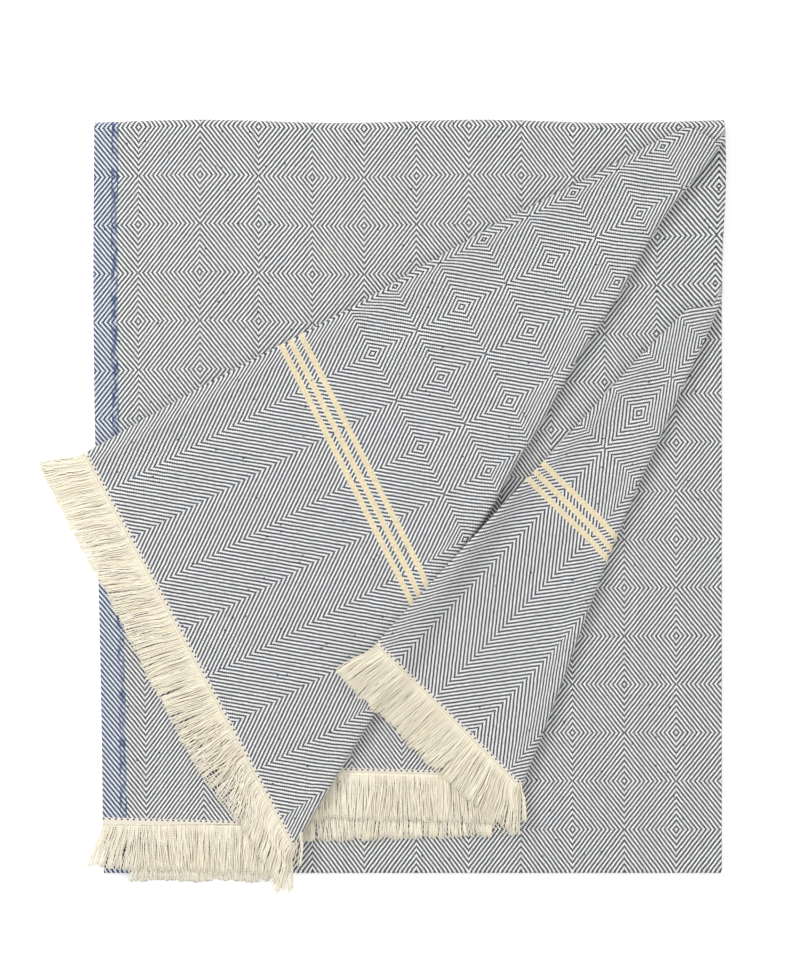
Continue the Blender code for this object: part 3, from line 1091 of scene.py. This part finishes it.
@dataclass
class WovenSheet:
    """The woven sheet with its hems, as a closed slab of the cloth's thickness.

    Attributes:
        column: the width of a column of faces.
        near_columns: the distances of the narrow columns beside the fold across the width.
        rows: the height of a row of faces in each panel, from end 1.
        near_climb: where corner 2 is divided before its climb.
        cut_reach: how far from a dividing line faces are looked at.
    """

    plan: FoldPlan
    threads: ThreadCount
    finish: DiamondTwill
    column: float = 0.0085
    near_columns: tuple[float, ...] = (0.0012, 0.0027, 0.0045, 0.0066, 0.0090, 0.0120, 0.0155, 0.0200)
    side_steps: int = 10
    rows: tuple[float, ...] = (0.0085, 0.014, 0.012, 0.0095)
    outer_steps: int = 12
    inner_steps: int = 8
    crease_steps: int = 10
    settle_steps: int = 5
    climb_steps: int = 6
    near_climb: tuple[float, ...] = (-0.030, -0.020, -0.010, 0.0)
    cut_reach: float = 0.016
    sharp_angle: float = 55.0
    tolerance: float = 1e-6
    creases: dict[ClothEnd, Crease] = field(init=False)

    def __post_init__(self) -> None:
        """Keeps the creases at hand."""
        self.creases = self.plan.creases

    def columns(self) -> list[float]:
        """The u of every column, closer together at the fold across the width.

        Returns:
            The u, from the left.
        """
        plan = self.plan
        half = plan.cloth_width / 2
        arc = [plan.side_arc * (2 * step / self.side_steps - 1) for step in range(self.side_steps + 1)]
        near = [plan.side_arc + place for place in self.near_columns]
        reach = half - near[-1] - plan.side_offset
        count = math.ceil(reach / self.column)
        far = [near[-1] + reach * step / count for step in range(1, count + 1)]
        side = near + far
        left = [-place + plan.side_offset for place in side[::-1]]
        right = [place + plan.side_offset for place in side]
        left[0], right[-1] = -half, half
        return left + [plan.side_offset + place for place in arc] + right

    def row_places(self) -> list[float]:
        """The v of every row, from end 1 to end 2.

        Returns:
            The v.
        """
        rows, panel = [0.0], 0
        for length, size, turn in self.plan.sections:
            if turn:
                steps = self.outer_steps if size > 2 * self.plan.inner_radius else self.inner_steps
            else:
                steps = math.ceil(length / self.rows[panel])
                panel += 1
            start = rows[-1]
            rows += [start + length * step / steps for step in range(1, steps + 1)]
        return rows

    def flat_sheet(self) -> bmesh.types.BMesh:
        """The sheet laid out flat, with its skewed hems.

        Returns:
            The sheet, without thickness.
        """
        mesh = bmesh.new()
        columns, rows = self.columns(), self.row_places()
        corners = [[mesh.verts.new((u, v, 0.0)) for u in columns] for v in rows]
        for low, high in zip(corners, corners[1:]):
            for index in range(len(columns) - 1):
                mesh.faces.new((low[index], low[index + 1], high[index + 1], high[index]))
        for low, high in zip(corners[0], corners[-1]):
            low.co.y = self.plan.hem(ClothEnd.END_1, low.co.x)
            high.co.y = self.plan.hem(ClothEnd.END_2, high.co.x)
        return mesh

    def cut(self, mesh: bmesh.types.BMesh, end: ClothEnd, ply: Ply, point: Array, line: Array) -> None:
        """Divides one ply of an end panel along a line that is given before the turn.

        Args:
            mesh: the flat sheet.
            end: the end of the panel.
            ply: the ply that is divided.
            point: a point of the line.
            line: its direction.
        """
        start = self.plan.unfold(end, ply, point)
        way = self.plan.unfold(end, ply, point + line) - start
        across = Vector((-way[1], way[0], 0.0)).normalized()
        begin = Vector(start)
        faces = []
        for face in mesh.faces:
            centre = face.calc_center_median()
            inside = centre.y < self.plan.panel_1_stop
            if end is ClothEnd.END_2:
                inside = centre.y > self.plan.panel_2_start
            inside = inside and (centre.x - self.plan.side_offset) * ply.value > 0
            if inside and abs(across.dot(centre - begin)) < self.cut_reach:
                faces.append(face)
        edges = dict.fromkeys(edge for face in faces for edge in face.edges)
        verts = dict.fromkeys(vert for face in faces for vert in face.verts)
        bmesh.ops.bisect_plane(
            mesh, geom=[*faces, *edges, *verts], dist=self.tolerance, plane_co=begin, plane_no=across,
        )

    def divide(self, mesh: bmesh.types.BMesh) -> None:
        """Divides the sheet at both creases, and where corner 2 climbs over corner 1.

        Args:
            mesh: the flat sheet.
        """
        for end, crease in self.creases.items():
            cuts = [crease.arc * step / self.crease_steps for step in range(self.crease_steps + 1)]
            settle = crease.settle_length / self.settle_steps
            cuts += [crease.arc + settle * (step + 1) for step in range(self.settle_steps)]
            for ply in Ply:
                for place in cuts:
                    self.cut(mesh, end, ply, np.array(crease.start) + crease.past * place, crease.along)
        lower, upper = self.creases[ClothEnd.END_1], self.creases[ClothEnd.END_2]
        ramp = self.plan.climb_length / self.climb_steps
        places = [self.plan.climb_start + ramp * step for step in range(self.climb_steps + 1)]
        for place in [*self.near_climb, *places]:
            point = np.array(lower.start) + lower.past * (place + self.plan.climb_sway)
            first = upper.before_turning(point)
            second = upper.before_turning(point + lower.along)
            for ply in Ply:
                self.cut(mesh, ClothEnd.END_2, ply, first, second - first)

    def build(self) -> bpy.types.Object:
        """Builds the folded sheet.

        Returns:
            The dressed cloth.
        """
        mesh = self.flat_sheet()
        self.divide(mesh)
        made = bmesh.ops.extrude_face_region(mesh, geom=mesh.faces[:], use_keep_orig=True)
        lifted = {item for item in made["geom"] if isinstance(item, bmesh.types.BMVert)}
        half = self.plan.ply_thickness / 2
        for vert in mesh.verts:
            vert.co.z = half if vert in lifted else -half
        bmesh.ops.recalc_face_normals(mesh, faces=mesh.faces[:])
        data = bpy.data.meshes.new("twill_blanket")
        mesh.to_mesh(data)
        mesh.free()
        flat = np.zeros(len(data.vertices) * 3, np.float32)
        data.vertices.foreach_get("co", flat)
        sheet = flat.reshape(-1, 3).astype(float)
        write_attribute(data, self.finish.attribute, self.threads.count(sheet))
        data.vertices.foreach_set("co", self.plan.fold(sheet).astype(np.float32).ravel())
        data.update()
        data.materials.append(self.finish.make())
        data.shade_smooth()
        data.set_sharp_from_angle(angle=math.radians(self.sharp_angle))
        return put_in_scene("twill_blanket", data)


@dataclass
class Fringe:
    """The fringe of one end: its warp yarns, bunched a few together and cut even.

    Attributes:
        seed: what its random numbers start from.
        turns: rows of (distance from the middle fold, degrees) for the yarns of the turned corner,
            seen from above and counter-clockwise.
        flares: rows of (u, degrees) for the other yarns.
        tangle: how much curlier than the others the yarns round tangle_place are.
        leans: rows of (wave along the hem, how far the tips lean).
        pull: the share by which the yarns of a bunch draw together.
        droop: how fast the yarns sink outside the pack.
        fall_reach: how far out the yarns reach that fall over the foot.
        crease_turn: the turn of the yarns beside the crease, within crease_near of it.
    """

    plan: FoldPlan
    end: ClothEnd
    finish: NaturalYarn
    seed: int
    turns: Rows
    flares: Rows
    tangle: float = 0.0
    tangle_place: float = 0.235
    tangle_reach: float = 0.040
    yarns: int = 2000
    yarn_radius: float = 0.00036
    tip_radius: float = 0.00032
    length: float = 0.0345
    length_spread: float = 0.0006
    bunch_spread: float = 0.0005
    steps: int = 8
    sides: int = 4
    edge: float = 0.0008
    root_inside: float = 0.0012
    bunch: int = 9
    bunch_range: int = 3
    pull: float = 0.10
    pull_start: float = 0.35
    leans: Rows = ((0.110, 0.0022), (0.047, 0.0013), (0.021, 0.0006))
    bunch_lean: float = 0.0004
    curl: float = 0.00045
    curl_start: float = 0.3
    layer: float = 0.0005
    layer_start: float = 0.003
    lift: float = 0.0009
    droop: float = 7.0
    fall_reach: float = 0.0057
    fall_wave: float = 0.0087
    crease_turn: float = -31.0
    crease_near: float = 0.018
    probe: float = 0.0004
    most_rise: float = 0.0012
    fall_swing: float = 0.25
    fall_spreads: Span = (0.14, 0.10)
    least_fall: float = 0.35
    floor_room: float = 1.3

    def roots(self, draw: np.random.Generator) -> tuple[Array, Array, Array]:
        """Where the yarns leave the hem.

        Args:
            draw: the random numbers.

        Returns:
            The u of each yarn, of the middle of its bunch, and a number for the bunch.
        """
        half = self.plan.cloth_width / 2 - self.edge
        places = np.linspace(-half, half, self.yarns)
        low, high = self.bunch - self.bunch_range, self.bunch + self.bunch_range + 1
        edges = np.cumsum(draw.integers(low, high, self.yarns))
        number = np.searchsorted(edges, np.arange(self.yarns), side="right")
        middles = np.bincount(number, weights=places) / np.maximum(np.bincount(number), 1)
        return places, middles[number], number

    def stray(self, u: Array, inward: Array, number: Array, free: Array, draw: np.random.Generator) -> Array:
        """How far along the hem the yarns stray: bunched, leaning and curled.

        Args:
            u: the place of each root.
            inward: how far each is from the middle of its bunch.
            number: the number of its bunch.
            free: how far along its yarn each step is, over the fringe's length.
            draw: the random numbers.

        Returns:
            The shift of every step, as (yarn, step).
        """
        pull = smooth(free / self.pull_start) * self.pull * (1 + np.sin(free * 5 + number[:, None]))
        lean = sum(size * np.sin(2 * np.pi * u / wave + draw.uniform(0, 6)) for wave, size in self.leans)
        shift = inward[:, None] * pull + lean[:, None] * free ** 1.6
        shift += draw.normal(0.0, self.bunch_lean, number.max() + 1)[number][:, None] * free ** 1.5
        phase = draw.uniform(0, 6, (self.yarns, 1))
        tangled = 1 + self.tangle * hump(u - self.tangle_place, self.tangle_reach)
        curl = (tangled * draw.normal(0.0, self.curl, self.yarns))[:, None] * np.sin(free * 6 + phase)
        return shift + curl * smooth(free / self.curl_start)

    def straight_on(self, root: Array, sheet: Array) -> Array:
        """Carries yarns on in the way in which their roots leave the folded cloth.

        Args:
            root: the (u, v, n) of every root.
            sheet: the (u, v, n) of every step, as (yarn, step, 3).

        Returns:
            Where every step lies, as (yarn, step, 3).
        """
        start = self.plan.fold(root)[:, None, :]
        moved = start
        for axis, step in enumerate(self.probe * np.eye(3)):
            way = (self.plan.fold(root + step)[:, None, :] - start) / self.probe
            moved = moved + (sheet - root[:, None, :])[:, :, axis, None] * way
        rise = np.clip(moved[:, :, 2:] - start[:, :, 2:], -self.most_rise, self.most_rise)
        return np.concatenate((moved[:, :, :2], start[:, :, 2:] + rise), 2)

    def fall(self, points: Array, share: Array) -> Array:
        """Lets yarns fall over the foot of the pack.

        Args:
            points: their steps, as (yarn, step, 3).
            share: each yarn's share of the reach.

        Returns:
            The steps after the fall.
        """
        below = np.maximum(-self.plan.head - points[..., 1], 0.0)
        reach = self.fall_reach * share[:, None]
        out = reach * (1 - np.exp(-below / reach))
        return points + np.stack((np.zeros_like(below), below - out, -np.sqrt(below ** 2 - out ** 2)), -1)

    def swing(self, points: Array, angle: Array) -> Array:
        """Turns every step of the yarns about their roots, seen from above.

        Args:
            points: the steps, as (yarn, step, 3).
            angle: the angle of every step.

        Returns:
            The steps after the turn.
        """
        x, y = np.moveaxis(points[:, :, :2] - points[:, :1, :2], 2, 0)
        turned = np.stack((x * np.cos(angle) - y * np.sin(angle), x * np.sin(angle) + y * np.cos(angle)), 2)
        return np.concatenate((points[:, :1, :2] + turned, points[:, :, 2:]), 2)

    def settle(self, root: Array, sheet: Array, free: Array, fall_share: Array) -> Array:
        """Folds the yarns with the cloth, and turns them about their roots.

        Args:
            root: the (u, v, n) of every root.
            sheet: the (u, v, n) of every step, as (yarn, step, 3).
            free: how far along its yarn each step is, over the fringe's length.
            fall_share: each yarn's share of the fall's reach.

        Returns:
            Where every step lies, as (yarn, step, 3).
        """
        points = self.plan.fold(sheet.reshape(-1, 3)).reshape(sheet.shape)
        crease = self.plan.creases[self.end]
        _, past = crease.place(self.plan.straight_fold(root)[:, :2])
        still_open, unturned = past < crease.arc, past < 0
        points[still_open] = self.straight_on(root[still_open], sheet[still_open])
        points[unturned] = self.fall(points[unturned], fall_share[unturned])
        turned = smooth(past / crease.arc)
        beside = smooth(1 + past / self.crease_near) * smooth(1 - 2 * past / crease.arc)
        turn = np.interp(np.abs(root[:, 0]), *zip(*self.turns)) * turned + self.crease_turn * beside
        turn += np.interp(root[:, 0], *zip(*self.flares)) * (1 - turned)
        return self.swing(points, np.radians(turn)[:, None] * np.minimum(2 * free, 1.0) ** 0.7)

    def lines(self) -> tuple[Array, Array]:
        """The middle line of every yarn.

        Returns:
            The lines as (yarn, step, 3), and how far along its yarn each step is.
        """
        draw = np.random.default_rng(self.seed)
        u, middle, number = self.roots(draw)
        bunches = number.max() + 1
        total = self.length + self.root_inside + draw.normal(0.0, self.length_spread, self.yarns)
        total += draw.normal(0.0, self.bunch_spread, bunches)[number]
        out = np.linspace(0.0, 1.0, self.steps + 1) * total[:, None] - self.root_inside
        free = np.maximum(out, 0.0) / self.length
        across = u[:, None] + self.stray(u, middle - u, number, free, draw)
        hem = self.plan.hem(self.end, u)
        along = hem[:, None] + (out if self.end is ClothEnd.END_2 else -out)
        layer = draw.uniform(-self.layer, self.layer, self.yarns)[:, None] * smooth(out / self.layer_start)
        lift = draw.uniform(0.0, self.lift, self.yarns)[:, None] * np.sin(np.pi * np.minimum(free, 1.0))
        fall_share = 1 + self.fall_swing * np.sin(u / self.fall_wave)
        fall_share += draw.normal(0.0, self.fall_spreads[0], bunches)[number]
        fall_share += draw.normal(0.0, self.fall_spreads[1], self.yarns)
        fall_share = np.maximum(fall_share, self.least_fall)
        root = np.column_stack((u, hem, np.zeros_like(u)))
        points = self.settle(root, np.stack((across, along, layer), -1), free, fall_share)
        past_left = np.maximum(-self.plan.right - points[:, :, 0], 0)
        past_foot = np.maximum(-self.plan.head - points[:, :, 1], 0)
        height = points[:, :, 2] + lift - self.droop * (past_left + past_foot) ** 2
        points[:, :, 2] = np.maximum(height, self.floor_room * self.yarn_radius)
        return points, np.maximum(out, 0.0)

    def faces(self) -> Array:
        """The quads of every yarn's tube, with its two caps.

        Returns:
            Rows of four point numbers.
        """
        ring = np.arange(self.sides)
        start = np.arange(self.yarns)[:, None] * (self.steps + 1) * self.sides
        base = start[:, :, None] + (np.arange(self.steps) * self.sides)[None, :, None]
        first, second = base + ring, base + (ring + 1) % self.sides
        quads = np.stack((first, second, second + self.sides, first + self.sides), -1).reshape(-1, 4)
        return np.concatenate((quads, start + ring[::-1], start + self.steps * self.sides + ring))

    def build(self, name: str) -> bpy.types.Object:
        """Builds the yarns as closed tubes in one mesh.

        Args:
            name: the piece's name.

        Returns:
            The dressed fringe.
        """
        lines, out = self.lines()
        ways = np.gradient(lines, axis=1)
        ways /= np.linalg.norm(ways, axis=2, keepdims=True)
        side = np.cross(ways, (0.0, 0.0, 1.0))
        side[np.linalg.norm(side, axis=2) < 0.05] = (1.0, 0.0, 0.0)
        side /= np.linalg.norm(side, axis=2, keepdims=True)
        over = np.cross(side, ways)
        turn = 2 * np.pi * np.arange(self.sides) / self.sides
        radius = np.linspace(self.yarn_radius, self.tip_radius, self.steps + 1)[None, :, None, None]
        rim = side[:, :, None, :] * np.cos(turn)[:, None] + over[:, :, None, :] * np.sin(turn)[:, None]
        points = lines[:, :, None, :] + radius * rim
        data = bpy.data.meshes.new(name)
        data.from_pydata(points.reshape(-1, 3).tolist(), [], self.faces().tolist())
        tone = np.random.default_rng(self.seed + 1).uniform(0.0, 1.0, self.yarns)
        marks = np.zeros(points.shape, np.float32)
        marks[..., 0] = out[:, :, None]
        marks[..., 1] = np.arange(self.sides) / self.sides
        marks[..., 2] = tone[:, None, None]
        write_attribute(data, self.finish.attribute, marks)
        data.materials.append(self.finish.make())
        data.shade_smooth()
        return put_in_scene(name, data)


@dataclass(frozen=True)
class OverheadCamera:
    """The camera, straight above the pack.

    Attributes:
        centre: the point of the pack in the middle of the picture.
        across: the width that the picture takes in at the top of the pack.
        distance: how far above the pack the camera is.
    """

    centre: tuple[float, float] = (-0.00684, 0.00864)
    across: float = 0.576
    distance: float = 2.5
    sensor: float = 36.0
    pack_top: float = 0.014

    def build(self) -> None:
        """Adds the camera and makes it the scene's."""
        data = bpy.data.cameras.new("overhead")
        data.sensor_fit = "HORIZONTAL"
        data.sensor_width = self.sensor
        data.lens = self.sensor * self.distance / self.across
        camera = put_in_scene("overhead", data)
        camera.location = (*self.centre, self.pack_top + self.distance)
        bpy.context.scene.camera = camera


@dataclass(frozen=True)
class Studio:
    """A plain pale floor and soft studio light.

    Attributes:
        floor_size: the side of the floor.
        floor_colour: its colour.
        glow: the light that the floor itself gives, so that it stays pale.
        sky: the strength of the light from all round.
        key_power: the power of the key light.
    """

    floor_size: float = 6.0
    floor_colour: Colour = (0.97, 0.97, 0.97, 1.0)
    glow: float = 0.22
    sky: float = 0.86
    key_power: float = 26.0
    key_size: float = 0.7
    key_place: tuple[float, float, float] = (-1.5, 1.2, 1.5)
    fill_power: float = 6.0
    fill_size: float = 1.6
    fill_place: tuple[float, float, float] = (1.2, -1.0, 1.9)

    def build(self) -> None:
        """Adds the floor and the lights."""
        self.floor()
        self.light("key", self.key_place, self.key_power, self.key_size)
        self.light("fill", self.fill_place, self.fill_power, self.fill_size)
        world = bpy.data.worlds.new("studio")
        world.use_nodes = True
        sky = world.node_tree.nodes["Background"]
        sky.inputs["Color"].default_value = (1.0, 1.0, 1.0, 1.0)
        sky.inputs["Strength"].default_value = self.sky
        bpy.context.scene.world = world
        bpy.context.scene.view_settings.view_transform = "Standard"

    def floor(self) -> None:
        """Adds the floor."""
        half = self.floor_size / 2
        data = bpy.data.meshes.new("floor")
        corners = [(-half, -half, 0), (half, -half, 0), (half, half, 0), (-half, half, 0)]
        data.from_pydata(corners, [], [(0, 1, 2, 3)])
        material = bpy.data.materials.new("floor_paper")
        material.use_nodes = True
        shader = material.node_tree.nodes["Principled BSDF"]
        shader.inputs["Base Color"].default_value = self.floor_colour
        shader.inputs["Roughness"].default_value = 1.0
        shader.inputs["Specular IOR Level"].default_value = 0.0
        shader.inputs["Emission Color"].default_value = (1.0, 1.0, 1.0, 1.0)
        shader.inputs["Emission Strength"].default_value = self.glow
        data.materials.append(material)
        put_in_scene("floor", data)

    def light(self, name: str, place: tuple[float, float, float], power: float, size: float) -> None:
        """Adds a square light that faces the pack.

        Args:
            name: its name.
            place: where it stands.
            power: its power in watts.
            size: its side.
        """
        data = bpy.data.lights.new(name, "AREA")
        data.energy = power
        data.size = size
        light = put_in_scene(name, data)
        light.location = place
        light.rotation_mode = "QUATERNION"
        light.rotation_quaternion = (-Vector(place)).to_track_quat("-Z", "Y")


def main() -> None:
    """Builds the dressed blanket, the camera and the studio."""
    logging.basicConfig(level=logging.INFO, format="%(name)s: %(message)s")
    plan = FoldPlan()
    OverheadCamera().build()
    LOG.info("camera above the pack")
    cloth = WovenSheet(plan, ThreadCount(plan), DiamondTwill()).build()
    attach(cloth, BODY)
    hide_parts("woven_cloth")
    LOG.info("cloth of %.3f by %.3f m, %d faces", plan.cloth_width, plan.length, len(cloth.data.polygons))
    yarn = NaturalYarn()
    fringes = [
        Fringe(plan, ClothEnd.END_1, yarn, 11, TURNS_1, FLARES_1, TANGLE_1),
        Fringe(plan, ClothEnd.END_2, yarn, 12, TURNS_2, FLARES_2),
    ]
    for fringe in fringes:
        piece = fringe.build(f"yarns_{fringe.end.value}")
        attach(piece, BODY)
        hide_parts(f"fringe_{fringe.end.value}")
        LOG.info("fringe %s with %d faces", fringe.end.value, len(piece.data.polygons))
    plan.length
    Studio().build()
    LOG.info("floor and lights")


if __name__ == "__main__":
    main()
